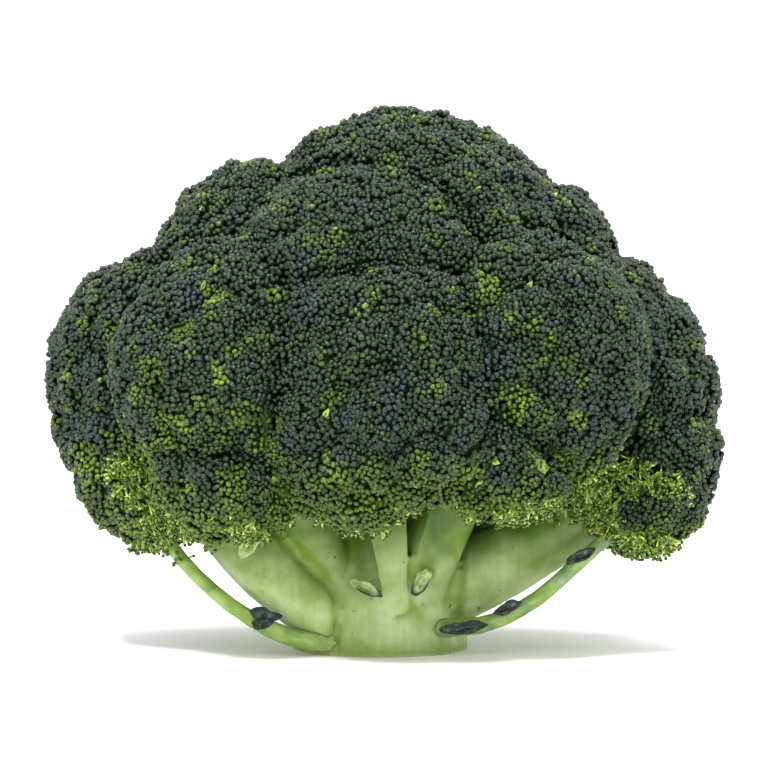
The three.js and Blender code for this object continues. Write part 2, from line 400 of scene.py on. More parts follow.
def make_bud_material():
    """Closed flower buds of broccoli: living sepals under a thin grey wax that scatters light softly. Each
    bud has a pale ring round the shoulders of its sepals and a small dull gleam at its tip, partly the wax
    and partly a painted highlight, over a dark green foot that is painted shade from the buds around it.
    Young buds are yellow-green."""
    look = {"roughness": 0.26, "ior": 1.45, "specular": 0.35}
    material, tree, shader, place = start_material("waxy_flower_buds", **look)
    bud = add_node(tree, "Attribute", {"attribute_name": "bud"})
    youth, tone, rise = add_node(tree, "SeparateColor", {}, {"Color": bud}).outputs

    ripe_tones = [(0, "182c07"), (0.3, "12260b"), (0.55, "122417"), (0.8, "17262a"), (1, "242e4e")]
    ripe = add_node(tree, "ValToRGB", {"stops": ripe_tones}, {"Fac": tone})
    young_tones = [(0, "364f0f"), (0.6, "526f18"), (1, "8aa236")]
    young = add_node(tree, "ValToRGB", {"stops": young_tones}, {"Fac": tone})
    skin = add_node(tree, "Mix", BLEND, {"Factor": youth, "A": ripe, "B": young})

    # The tone's last digits make some buds darker than their neighbours.
    times = add_node(tree, "Math", {"operation": "MULTIPLY", 1: 43.0}, {0: tone})
    luck = add_node(tree, "Math", {"operation": "FRACT"}, {0: times})
    shade = add_node(tree, "ValToRGB", {"stops": [(0, "8a8a8a"), (0.8, "ffffff")]}, {"Fac": luck})
    skin = add_node(tree, "Mix", MULTIPLY_ALL, {"A": skin, "B": shade})

    # The grain of the wax is really finer than 0.1 mm. It is drawn coarser, so that it can be seen.
    speckle = add_node(tree, "TexNoise", {"Scale": 1 / (0.45 * MM), "Detail": 2.0}, {"Vector": place})
    dapple = add_node(tree, "ValToRGB", {"stops": [(0.38, "949494"), (0.6, "ffffff")]}, {"Fac": speckle})
    skin = add_node(tree, "Mix", MULTIPLY_ALL, {"A": skin, "B": dapple})

    # Painted highlight: a pale ring at the shoulders of each bud and a lighter tip, partly the wax bloom the
    # buds have and partly light drawn into the colour.
    wax_and_highlight_stops = [(0.55, "000000"), (0.84, "969696"), (0.92, "484848"), (1, "6c6c6c")]
    wax_and_highlight_share = add_node(tree, "ValToRGB", {"stops": wax_and_highlight_stops}, {"Fac": rise})
    wax = add_node(tree, "Mix", {"data_type": "RGBA", "A": "4b6843", "B": "8aa23e"}, {"Factor": youth})
    skin = add_node(tree, "Mix", BLEND, {"Factor": wax_and_highlight_share, "A": skin, "B": wax})

    # Painted shade: each bud darkens towards its foot, where the buds around it would shade it.
    foot = add_node(tree, "ValToRGB", {"stops": [(0.25, "5e5e5e"), (0.75, "ffffff")]}, {"Fac": rise})
    skin = add_node(tree, "Mix", MULTIPLY_ALL, {"A": skin, "B": foot})
    finish_material(tree, shader, skin, speckle, depth=0.3 * MM)
    return material


def make_core_material():
    """The bunched stems under the buds, seen only through the gaps: matt, painted dark as the shade under the
    buds, and lime green at the rim."""
    material, tree, shader, place = start_material("bunched_stems", roughness=0.7, ior=1.4, specular=0.3)
    core = add_node(tree, "Attribute", {"attribute_name": "core"})
    rim = add_node(tree, "SeparateColor", {}, {"Color": core}).outputs[0]
    strands = add_node(tree, "TexNoise", {"Scale": 1 / (1.4 * MM), "Detail": 3.0}, {"Vector": place})
    # Painted shade: away from the rim the stems are coloured near black-green for the shade in the gaps
    # between the buds.
    fold = add_node(tree, "ValToRGB", {"stops": [(0.3, "17200f"), (0.7, "2d3d1a")]}, {"Fac": strands})
    lime = add_node(tree, "ValToRGB", {"stops": [(0.3, "5c7822"), (0.7, "a9c35c")]}, {"Fac": strands})
    skin = add_node(tree, "Mix", BLEND, {"Factor": rim, "A": fold, "B": lime})
    finish_material(tree, shader, skin, strands, depth=0.5 * MM)
    return material


def make_spray_material():
    """Pedicels, the thread-thin stems that carry single buds: moist lime green, paler towards the bud."""
    material, tree, shader, place = start_material("pedicels", roughness=0.4, ior=1.45, specular=0.5)
    stem = add_node(tree, "Attribute", {"attribute_name": "stem"})
    along, tone, _ = add_node(tree, "SeparateColor", {}, {"Color": stem}).outputs
    low = add_node(tree, "ValToRGB", {"stops": [(0, "6f8f30"), (1, "9dba52")]}, {"Fac": tone})
    high = add_node(tree, "ValToRGB", {"stops": [(0, "90af40"), (1, "c0d47a")]}, {"Fac": tone})
    skin = add_node(tree, "Mix", BLEND, {"Factor": along, "A": low, "B": high})
    streaks = add_node(tree, "TexNoise", {"Scale": 1 / (0.4 * MM)}, {"Vector": place})
    finish_material(tree, shader, skin, streaks, depth=0.03 * MM)
    let_light_through(shader, share=0.15, colour_reach=(1.0, 1.0, 0.4), depth=0.6 * MM)
    return material


def make_stalk_material():
    """Broccoli stalk: a smooth pale skin with a faint wax over wet green flesh, so it glows a little in the
    light. Fine fibres run up it, its folds are painted yellower and darker, partly their own tint and partly
    painted shade, and it darkens to leaf green under the crown, partly its own colour and partly painted
    shade from the crown."""
    material, tree, shader, place = start_material("stalk_skin", roughness=0.4, ior=1.42, specular=0.5)
    attribute = add_node(tree, "Attribute", {"attribute_name": "skin"})
    fold, rise, bare = add_node(tree, "SeparateColor", {}, {"Color": attribute}).outputs

    cloud = add_node(tree, "TexNoise", {"Scale": 1 / (8 * MM), "Detail": 3.0}, {"Vector": place})
    pale = add_node(tree, "ValToRGB", {"stops": [(0.35, "869e50"), (0.65, "b1be8e")]}, {"Fac": cloud})
    # Painted shade in part: the leaf green under the crown is partly the stalk's own colour and partly the
    # crown's shadow drawn into it.
    under_crown_green_and_shade = add_node(tree, "ValToRGB", {"stops": [(0.35, "456219"), (0.65, "667f33")]}, {"Fac": cloud})
    skin = add_node(tree, "Mix", BLEND, {"Factor": rise, "A": pale, "B": under_crown_green_and_shade})
    # Painted shade in part: the folds are coloured yellower and darker, partly their own tint and partly the
    # shade that lies in them. The same colour gives the lime band along the cut.
    skin = add_node(tree, "Mix", {"data_type": "RGBA", "B": "75912e"}, {"Factor": fold, "A": skin})

    drawn_out = add_node(tree, "Mapping", {"Scale": (1, 1, 0.05)}, {"Vector": place})
    fibres = add_node(tree, "TexNoise", {"Scale": 1 / (1.3 * MM), "Detail": 3.0}, {"Vector": drawn_out})
    streaks = add_node(tree, "ValToRGB", {"stops": [(0.35, "f3f5ea"), (0.65, "ffffff")]}, {"Fac": fibres})
    skin = add_node(tree, "Mix", MULTIPLY_ALL, {"A": skin, "B": streaks})

    spots = add_node(tree, "TexNoise", {"Scale": 1 / (1.6 * MM), "Detail": 1.0}, {"Vector": place})
    marks = add_node(tree, "MapRange", {"From Min": 0.74, "From Max": 0.78}, {"Value": spots})
    skin = add_node(tree, "Mix", {"data_type": "RGBA", "B": "4b6327"}, {"Factor": marks, "A": skin})

    pith = add_node(tree, "ValToRGB", {"stops": [(0.3, "a4aa7a"), (0.7, "bbbd9a")]}, {"Fac": cloud})
    skin = add_node(tree, "Mix", BLEND, {"Factor": bare, "A": skin, "B": pith})
    finish_material(tree, shader, skin, fibres, depth=0.05 * MM)
    let_light_through(shader, share=0.15, colour_reach=(1.0, 1.0, 0.5), depth=1.5 * MM)
    return material


def make_shoot_material():
    """Side shoot skin: deeper green than the stalk, under an uneven grey bloom that dulls it. The bloom is
    thickest on the right shoot."""
    material, tree, shader, place = start_material("shoot_skin", roughness=0.42, ior=1.42, specular=0.5)
    cloud = add_node(tree, "TexNoise", {"Scale": 1 / (5 * MM), "Detail": 2.0}, {"Vector": place})
    skin = add_node(tree, "ValToRGB", {"stops": [(0.35, "76963f"), (0.65, "98b266")]}, {"Fac": cloud})
    bloom = add_node(tree, "TexNoise", {"Scale": 1 / (6 * MM), "Detail": 3.0}, {"Vector": place})
    sideways = add_node(tree, "SeparateXYZ", {}, {"Vector": place}).outputs[0]
    limits = {"From Min": -20 * MM, "From Max": 15 * MM, "To Min": 0.15, "To Max": 0.6}
    most = add_node(tree, "MapRange", limits, {"Value": sideways})
    share = add_node(tree, "MapRange", {"From Min": 0.45, "From Max": 0.62}, {"Value": bloom, "To Max": most})
    skin = add_node(tree, "Mix", {"data_type": "RGBA", "B": "6a8269"}, {"Factor": share, "A": skin})
    drawn_out = add_node(tree, "Mapping", {"Scale": (0.1, 1, 0.2)}, {"Vector": place})
    fibres = add_node(tree, "TexNoise", {"Scale": 1 / (0.5 * MM), "Detail": 3.0}, {"Vector": drawn_out})
    streaks = add_node(tree, "ValToRGB", {"stops": [(0.4, "e2e8d6"), (0.6, "ffffff")]}, {"Fac": fibres})
    skin = add_node(tree, "Mix", MULTIPLY_ALL, {"A": skin, "B": streaks})
    finish_material(tree, shader, skin, fibres, depth=0.03 * MM)
    return material


def make_leaf_material():
    """Dried leaf edge and leaf scar: a dull slate-green skin, with a torn edge that has dried nearly black.
    Where a stub is still fresh inside, it is as pale as the stalk."""
    material, tree, shader, place = start_material("dried_leaf", roughness=0.5, ior=1.45, specular=0.4)
    leaf = add_node(tree, "Attribute", {"attribute_name": "leaf"})
    edge, fresh_share, _ = add_node(tree, "SeparateColor", {}, {"Color": leaf}).outputs
    blotch = add_node(tree, "TexNoise", {"Scale": 1 / (1.5 * MM), "Detail": 3.0}, {"Vector": place})
    slates = [(0.35, "141d18"), (0.55, "30423a"), (0.7, "62786d")]
    middle = add_node(tree, "ValToRGB", {"stops": slates}, {"Fac": blotch})
    rim = add_node(tree, "ValToRGB", {"stops": [(0.35, "10160f"), (0.65, "2a3a29")]}, {"Fac": blotch})
    skin = add_node(tree, "Mix", BLEND, {"Factor": edge, "A": middle, "B": rim})
    fresh = add_node(tree, "ValToRGB", {"stops": [(0.35, "6c8440"), (0.6, "a0b078")]}, {"Fac": blotch})
    skin = add_node(tree, "Mix", BLEND, {"Factor": fresh_share, "A": skin, "B": fresh})
    finish_material(tree, shader, skin, blotch, depth=0.1 * MM)
    return material


def make_young_leaf_material():
    """A fresh curled leaf: pale green like the stalk it grows from, with a yellow-green fold."""
    material, tree, shader, place = start_material("young_leaf", roughness=0.45, ior=1.42, specular=0.5)
    leaf = add_node(tree, "Attribute", {"attribute_name": "leaf"})
    edge = add_node(tree, "SeparateColor", {}, {"Color": leaf}).outputs[0]
    veins = add_node(tree, "TexNoise", {"Scale": 1 / (1.2 * MM), "Detail": 3.0}, {"Vector": place})
    fold = add_node(tree, "ValToRGB", {"stops": [(0.35, "637e22"), (0.65, "849c3e")]}, {"Fac": veins})
    blade = add_node(tree, "ValToRGB", {"stops": [(0.35, "8fa45f"), (0.65, "adb88b")]}, {"Fac": veins})
    skin = add_node(tree, "Mix", BLEND, {"Factor": edge, "A": fold, "B": blade})
    finish_material(tree, shader, skin, veins, depth=0.1 * MM)
    return material


# ---------------------------------------------------------------- the crown

def make_crown_skin():
    """One smooth skin over all the florets and stems, to set the buds out on. It isn't kept."""
    overlap = 0.35 * MM  # each part is grown this much, which closes the gaps between them
    parts = []
    for node in FLORETS + ["stalk"] + SHOOTS:
        part = copy_of(node, "part_" + node)
        apply_modifier(part, "DISPLACE", strength=overlap, mid_level=0.0)
        parts.append(part)
    skin = joined(parts, "crown_skin")
    regrow(skin, voxel=1.2 * MM, rounds=14)
    apply_modifier(skin, "TRIANGULATE")
    return skin


def make_finder(nodes):
    """Returns a function that says, for each place, which of those nodes is nearest and how far off it is."""
    points, faces, owners = [], [], []
    for owner, node in enumerate(nodes):
        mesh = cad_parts[node].data
        start = len(points)
        points += [vertex.co.copy() for vertex in mesh.vertices]
        faces += [[start + i for i in face.vertices] for face in mesh.polygons]
        owners += [owner] * len(mesh.polygons)
    tree = BVHTree.FromPolygons(points, faces)

    def find(places):
        hits = [tree.find_nearest(place) for place in places]
        return np.array([owners[hit[2]] for hit in hits]), np.array([hit[3] for hit in hits])

    return find


def outward(points, normals):
    """How squarely a place on the crown faces away from its heart, from -1 to 1."""
    return np.sum(unit(points - HEART) * normals, axis=1)


class Crown:
    """The lie of the crown: its skin, the humps on it, and where it is young or opens into sprays."""

    def __init__(self, skin):
        self.points, self.normals = points_of(skin), normals_of(skin)
        self.find_owner = make_finder(FLORETS + ["stalk"] + SHOOTS)
        self.on_floret = self.find_owner(self.points)[0] < len(FLORETS)
        self.by_floret = make_finder(FLORETS)(self.points)[1] < SPRAY_REACH
        self.triangles = triangles_of(skin)
        self.tree = BVHTree.FromPolygons([Vector(p) for p in self.points], self.triangles.tolist())
        self.near_skin = Nearest(self.points)
        self.facing = outward(self.points, self.normals)
        self.levels = []
        for size in (CLUSTER, BUNCH):
            order = rng.permutation(np.flatnonzero(self.facing > -0.1))
            gaps = size["apart"] * rng.uniform(0.75, 1.25, len(self.points))
            centres = self.points[spread(self.points, gaps, order)]
            self.levels.append((size, centres, Nearest(centres), rng.uniform(0.5, 1.4, len(centres))))
        bunches = len(self.levels[1][1])
        self.youth, self.bulk, self.tone = rng.random((3, bunches))
        self.sprays = self.front_places(FRONT_SPRAYS) + self.rim_places(count=14, least=4 * MM, most=7 * MM)
        self.young = self.front_places(FRONT_YOUNG) + self.rim_places(count=20, least=4 * MM, most=9 * MM)

    def front_places(self, places):
        """Where lines from the front meet the skin, and the reach of each."""
        found = []
        for x, z, reach in places:
            hit = self.tree.ray_cast(Vector((x * MM, -300 * MM, z * MM)), Vector((0, 1, 0)))[0]
            if hit:
                found.append((np.array(hit), reach * MM))
        return found

    def rim_places(self, count, least, most):
        """Places scattered round the sides and back of the rim, each with its reach."""
        points = self.points
        rim = self.on_floret & (self.facing > 0.2) & (self.facing < 0.6)
        rim &= (points[:, 2] < RIM_TOP + 2 * MM) & (points[:, 1] > -12 * MM)
        chosen = rng.choice(np.flatnonzero(rim), count, replace=False)
        return [(points[i], rng.uniform(least, most)) for i in chosen]

    def share_of(self, places, points):
        """How deep each point lies in any of the places, from 0 to 1."""
        share = np.zeros(len(points))
        for middle, reach in places:
            distance = np.linalg.norm(points - middle, axis=1)
            share = np.maximum(share, 1 - smoothstep(0.45, 1.0, distance / reach))
        return share

    def snap(self, points):
        """The nearest places on the skin, and the way the skin faces there."""
        places = np.array([self.tree.find_nearest(point)[0] for point in points])
        near, _ = self.near_skin.find(places, 3)
        return places, unit(self.normals[near].sum(axis=1))

    def relief(self, points):
        """Height over the plain skin, the slope to lean by, the bunch that each point is in, and how far out
        in the bunch it is, as a share of the bunch's reach."""
        height = 0.45 * MM * noise_at(points, 9 * MM) + 0.6 * MM
        lean = np.zeros_like(points)
        for size, centres, nearest, bulge in self.levels:
            index, distance = nearest.find(points, 1)
            index, distance = index[:, 0], distance[:, 0]
            share = np.minimum(distance / size["reach"], 1.4)
            depth = size["depth"] * bulge[index]
            height -= depth * share ** 2
            lean += (points - centres[index]) * (2 * depth / size["reach"] ** 2)[:, None]
        return height, lean, index, share


def set_out_buds(crown):
    """Chooses where every bud stands on the skin, then lets the buds push each other apart. Returns their
    places, the ways the skin faces there, and the florets they are on."""
    a, b, c = (crown.points[crown.triangles[:, i]] for i in range(3))
    area = np.linalg.norm(np.cross(b - a, c - a), axis=1) / 2
    count = int(5 * area.sum() / BUD_APART ** 2)  # more than there is room for, to leave no bare patch
    chosen = np.searchsorted(np.cumsum(area) / area.sum(), rng.random(count))
    u, v = rng.random((2, count, 1))
    u, v = np.where(u + v > 1, 1 - u, u), np.where(u + v > 1, 1 - v, v)
    places = (1 - u - v) * a[chosen] + u * b[chosen] + v * c[chosen]
    na, nb, nc = (crown.normals[crown.triangles[chosen, i]] for i in range(3))
    facing = unit((1 - u - v) * na + u * nb + v * nc)
    least = 0.02 - 0.5 * smoothstep(42 * MM, 58 * MM, places[:, 2])  # buds reach further under, higher up
    places = places[outward(places, facing) > least]

    _, _, bunch, _ = crown.relief(places)
    open_here = crown.share_of(crown.sprays, places)
    coarse = 0.5 + 0.5 * noise_at(places, 11 * MM, 12.0)
    gaps = BUD_APART * (0.72 + 0.3 * crown.bulk[bunch] + 0.42 * coarse) * (1 + 0.85 * open_here)
    picked = spread(places, gaps, range(len(places)))
    places, gaps = places[picked], gaps[picked]
    pushes = 3
    for _ in range(pushes):
        index, _ = Nearest(places).find(places, 7)
        away = places[:, None] - places[index[:, 1:]]
        distance = np.linalg.norm(away, axis=2)
        wanted = 1.15 * (gaps[:, None] + gaps[index[:, 1:]]) / 2
        push = np.clip(wanted - distance, 0, None) / np.maximum(distance, 1e-9)
        places = places + 0.22 * np.sum(away * push[..., None], axis=1)
    places, facing = crown.snap(places)
    owner, _ = crown.find_owner(places)
    kept = owner < len(FLORETS)
    return places[kept], facing[kept], owner[kept]


def make_bud():
    """One closed bud a unit in radius: a pointed foot, a full waist, and four sepals that meet at the tip."""
    deselect_all()
    bpy.ops.mesh.primitive_uv_sphere_add(segments=8, ring_count=4, radius=1.0)
    bud = bpy.context.active_object
    for vertex in bud.data.vertices:
        x, y, z = vertex.co
        turn = math.atan2(y, x)
        if z > 0.9:
            vertex.co.z = 0.95
        elif z > 0.3:
            sepal = 0.76 * (1.0 + 0.16 * math.cos(4 * turn))
            vertex.co = (sepal * math.cos(turn), sepal * math.sin(turn), 0.64)
        elif z > -0.3:
            vertex.co.z = -0.05
        else:
            vertex.co = (0, 0, -1.1)
    edit(
        bud,
        lambda: bpy.ops.mesh.remove_doubles(threshold=1e-4),
        lambda: bpy.ops.mesh.quads_convert_to_tris(),
    )
    points = points_of(bud)
    faces = triangles_of(bud)
    bpy.data.objects.remove(bud)
    return points, faces


def disc_map(points, faces):
    """A round map of one bud seen from its tip, with the foot at the edge, for each corner of its faces."""
    reach = 0.47 * (1 - rise_of(points)) ** 0.7
    around = np.arctan2(points[:, 1], points[:, 0])[faces]
    pole = np.linalg.norm(points[:, :2], axis=1)[faces] < 1e-6
    first = np.where(pole[:, :1], around[:, 1:2], around[:, :1])
    around = first + (around - first + np.pi) % (2 * np.pi) - np.pi
    middle = np.sum(np.where(pole, 0, around), axis=1, keepdims=True) / np.sum(~pole, axis=1, keepdims=True)
    around = np.where(pole, middle, around)
    disc = np.stack([reach[faces] * np.cos(around), reach[faces] * np.sin(around)], axis=2)
    return 0.5 + disc.reshape(-1, 2)


def ripen_buds(crown, places, facing, bunch, share, open_here):
    """How young each bud is, and its tone among buds of that age, both from 0 to 1."""
    count = len(places)
    under = smoothstep(0.1, 0.8, -facing[:, 2])
    low = 1 - smoothstep(40 * MM, 60 * MM, places[:, 2])

    # Young bunches lie in loose drifts, with more of them low down and on the left.
    start = 0.62 - 0.14 * smoothstep(-0.3, 0.4, noise_at(places, 22 * MM, 3.0)) - 0.1 * low
    start -= 0.1 * smoothstep(20 * MM, 60 * MM, -places[:, 0])
    patch = smoothstep(start, start + 0.35, crown.youth[bunch]) * (1 - 0.75 * np.minimum(share, 1))
    scatter = smoothstep(0.1, 0.5, noise_at(places, 3 * MM, 8.0))
    young_here = crown.share_of(crown.young, places)
    youth = 0.9 * patch * rng.uniform(0.3, 1.2, count) + 0.4 * scatter * rng.random(count)
    youth += young_here * (0.1 + crown.tone[bunch]) * rng.uniform(0.5, 1.0, count)
    youth += 0.9 * open_here + 0.6 * under * low

    tone = 0.48 + 0.55 * noise_at(places, 7 * MM, 5.0) + 0.45 * (crown.tone[bunch] - 0.5)
    tone += 0.25 * (rng.random(count) - 0.4) + 0.25 * (crown.bulk[bunch] - 0.5)
    return smoothstep(0.12, 0.85, youth), np.clip(tone, 0, 1)


def make_buds(crown, material):
    """The buds of every floret, of many sizes, some proud and some sunk, each leaning its own way. Returns
    their middles, the ways they point, and their radii."""
    places, facing, owner = set_out_buds(crown)
    count = len(places)
    index, distance = Nearest(places).find(places, FLORET_FOLD)
    height, lean, bunch, share = crown.relief(places)
    open_here = crown.share_of(crown.sprays, places)
    youth, tone = ripen_buds(crown, places, facing, bunch, share, open_here)

    # Buds fill the room they have, and young ones are smaller.
    radius = BUD_SWELL * distance[:, 1:NEIGHBOURS + 1].mean(axis=1) * rng.uniform(0.9, 1.1, count)
    radius = np.clip(radius * (1 - 0.18 * youth - 0.3 * open_here), *BUD_RADII)

    # Buds sink into the folds between florets, and stand at all depths where the crown opens.
    border = smoothstep(0.0, 0.45, np.mean(owner[index[:, 1:]] != owner[:, None], axis=1))
    sink = border * (0.5 + 1.5 * smoothstep(-0.1, 0.3, noise_at(places, 18 * MM, 9.0))) * MM
    stand = height - sink + 0.36 * MM * rng.standard_normal(count).clip(-1.6, 1.4) - 0.4 * MM
    stand -= open_here * rng.uniform(0.0, 2.4, count) * MM
    up = unit(facing + lean + 0.42 * rng.standard_normal(places.shape))
    centres = places + facing * stand[:, None]
    sides, others = frames_for(up, rng.uniform(0, 2 * np.pi, count))
    tall = radius * rng.uniform(0.9, 1.55, count)
    wide = radius * rng.uniform(0.64, 1.0, count)

    points, faces = make_bud()
    # The rise, from foot to tip, is where the bud material paints its highlight ring and the shade at the
    # foot.
    map_one, rise = disc_map(points, faces), rise_of(points)
    placed = copies_at(points, centres, sides * radius[:, None], others * wide[:, None], up * tall[:, None])
    for number, node in enumerate(FLORETS):
        mine = owner == number
        name = node.replace("floret_", "buds_")
        values = youth[mine, None], tone[mine, None], rise[None]
        piece = repeat_shape(name, placed[mine], faces, map_one, "bud", *values)
        finish_piece(piece, material, "buds", node)
    return centres, up, radius


def make_cores(crown, material):
    """The solid bunch of stems that fills each floret just under its buds."""
    for node in FLORETS:
        core = copy_of(node, node.replace("floret_", "core_"))
        regrow(core, voxel=1.3 * MM, rounds=12)
        points, normals = points_of(core), normals_of(core)
        facing = outward(points, normals)
        height = crown.relief(points)[0]
        outer = smoothstep(-0.1, 0.35, facing)
        hollow = crown.share_of(crown.sprays, points)
        move = outer * (height - 1.9 * MM - 2.2 * MM * hollow) - (1 - outer) * 1.0 * MM
        set_points(core, points + normals * move[:, None])
        # Where the rim share is low, the core takes the dark colour painted as the shade under the buds.
        low = 1 - smoothstep(44 * MM, 58 * MM, points[:, 2])
        rim = np.clip((1 - smoothstep(0.05, 0.5, facing)) * low + 0.8 * hollow, 0, 1)
        paint(core, "core", rim)
        finish_piece(core, material, "buds", node)


def make_sprays(crown, stem_material, bud_material):
    """Tufts of thread-thin stems, each with a small bud at its end, where the crown opens and under it."""
    points, normals = crown.points, crown.normals
    opening = crown.share_of(crown.sprays, points)
    open_here = crown.by_floret & (opening > 0.12) & (crown.facing > -0.4)
    rim = crown.on_floret & (crown.facing > -0.2) & (crown.facing < 0.2) & (points[:, 2] < RIM_TOP)
    order = rng.permutation(np.flatnonzero(open_here | rim))
    tufts = spread(points, np.where(open_here, 2.5 * MM, 6.0 * MM), order)

    # Each tuft fans out from a root under the skin.
    each = (len(tufts), STEMS_IN_TUFT)
    lead = unit(normals[tufts] + 0.3 * rng.standard_normal((len(tufts), 3)))
    roots = points[tufts] - 3.4 * MM * normals[tufts] - np.array([0, 0, 1.0 * MM])
    fan = unit(lead[:, None] + 0.42 * rng.standard_normal((*each, 3)))
    length = rng.uniform(2.7, 4.4, (*each, 1)) * MM
    starts = roots[:, None] + 0.4 * MM * rng.standard_normal((*each, 3))
    ends = roots[:, None] + fan * length
    bends = starts + 0.6 * length * unit(0.7 * lead[:, None] + fan)
    starts, bends, ends, fan = (values.reshape(-1, 3) for values in (starts, bends, ends, fan))
    ends[:, 2] = np.maximum(ends[:, 2], LOWEST_STEM_END)
    count = len(ends)
    radii = rng.uniform(*STEM_RADII, (count, 1)) * STEM_TAPER
    tone = rng.random((count, 1))
    paths = curves_between(starts, bends, ends, STEM_TAPER.size)
    stems = make_tubes("pedicels", paths, radii, 4, "stem", tone)
    finish_piece(stems, stem_material, "shoot")

    shape, faces = make_bud()
    radius = rng.uniform(0.34, 0.52, (count, 1)) * MM
    up = unit(fan + 0.25 * rng.standard_normal((count, 3)))
    sides, others = frames_for(up, rng.uniform(0, 2 * np.pi, count))
    placed = copies_at(shape, ends + 0.6 * radius * up, sides * radius, others * radius, up * 1.25 * radius)
    youth = rng.uniform(0.8, 1.0, (count, 1))
    # The rise is held at 0.5 or more, so these buds take less of the painted shade at the foot.
    values = youth, 0.55 + 0.45 * tone, np.maximum(rise_of(shape), 0.5)[None]
    piece = repeat_shape("spray_buds", placed, faces, disc_map(shape, faces), "bud", *values)
    finish_piece(piece, bud_material, "buds")


def make_branchlets(crown, material):
    """Stems that lead from the stalk's branches, along the underside of the crown, to the sprays."""
    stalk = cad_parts["stalk"].data
    tree = BVHTree.FromPolygons([v.co for v in stalk.vertices], [f.vertices[:] for f in stalk.polygons])
    under = crown.on_floret & (crown.facing > -0.3) & (crown.facing < 0.12) & (crown.points[:, 2] < RIM_TOP)
    order = rng.permutation(np.flatnonzero(under))
    chosen = spread(crown.points, np.full(len(crown.points), 4.5 * MM), order)
    starts, ends = [], []
    for root in crown.points[chosen] - 1.6 * MM * crown.normals[chosen]:
        place, normal, _, distance = tree.find_nearest(Vector(root) - Vector((0, 0, 7 * MM)))
        if 4 * MM < distance < 26 * MM:
            starts.append(np.array(place - 1.0 * MM * normal))
            ends.append(root)
    starts, ends = np.array(starts), np.array(ends)
    count = len(starts)
    bends = 0.45 * starts + 0.55 * ends + np.array([0, 0, 1.5 * MM])
    bends += 1.0 * MM * rng.standard_normal((count, 3))
    rings = 8
    paths = curves_between(starts, bends, ends, rings)
    radii = rng.uniform(0.35, 0.65, (count, 1)) * MM * np.linspace(1.6, 0.6, rings)[None]
    # Each branchlet takes more of the fold colour towards the crown, and its rise share of 0.6 to 1 gives it
    # the darker leaf green under the crown, partly painted shade.
    piece = make_tubes("branchlets", paths, radii, 8, "skin", 0.6 + 0.4 * rng.random((count, 1)), 0.0)
    finish_piece(piece, material, "stalk")


def make_stray_leaves(centres, ups, radii, material):
    """Tiny lime leaves left standing between the buds: a flattened, pointed drop, cupped along its middle."""
    deselect_all()
    bpy.ops.mesh.primitive_uv_sphere_add(segments=8, ring_count=6, radius=1.0)
    drop = bpy.context.active_object
    points = points_of(drop)
    across, thick, along = points.T
    narrow = np.where(along > 0, 1 - 0.6 * along ** 2, 1.0)
    points = np.stack([0.5 * across * narrow, 0.14 * thick + 0.3 * across ** 2, along], axis=1)
    faces = triangles_of(drop)
    edge = np.abs(across)
    bpy.data.objects.remove(drop)

    order = rng.permutation(np.flatnonzero(outward(centres, ups) > 0.35))
    chosen = spread(centres, np.full(len(centres), 30 * MM), order)
    count = len(chosen)
    out = unit(ups[chosen] + 0.35 * rng.standard_normal((count, 3)))
    side, long_way = frames_for(out, rng.uniform(0, 2 * np.pi, count))
    long_way = unit(long_way + 0.5 * out)
    out = np.cross(side, long_way)
    size = rng.uniform(0.8, 1.5, (count, 1)) * MM
    middles = centres[chosen] + ups[chosen] * radii[chosen, None]
    placed = copies_at(points, middles, size * side, size * out, size * long_way)
    values = 0.2 * edge[None], rng.uniform(0.0, 0.4, (count, 1))
    piece = repeat_shape("stray_leaves", placed, faces, disc_map(points, faces), "stem", *values)
    finish_piece(piece, material, "leaf")


# ---------------------------------------------------------------- the stems

def distance_to_run(points, run):
    """How far each point on a plane is from a run of straight pieces."""
    nearest = np.full(len(points), np.inf)
    for start, end in zip(run[:-1], run[1:]):
        along = end - start
        share = np.clip((points - start) @ along / (along @ along), 0, 1)
        nearest = np.minimum(nearest, np.linalg.norm(points - start - share[:, None] * along, axis=1))
    return nearest


def blend_front_stem(points):
    """Draws in the foot of the stem up the trunk's front, so that no end shows where it leaves the trunk."""
    trunk_radius, shoulder, flare, stem_x = 20.2 * MM, 12 * MM, 0.42, 4 * MM
    out = np.linalg.norm(points[:, :2], axis=1)
    limit = trunk_radius + flare * np.clip(points[:, 2] - shoulder, 0, None)
    here = 1 - smoothstep(7 * MM, 10 * MM, np.abs(points[:, 0] - stem_x))
    here *= smoothstep(10 * MM, 14 * MM, -points[:, 1])
    drawn_in = 1 - here * (1 - np.minimum(limit / out, 1))
    return points * np.stack([drawn_in, drawn_in, np.ones(len(points))], axis=1)


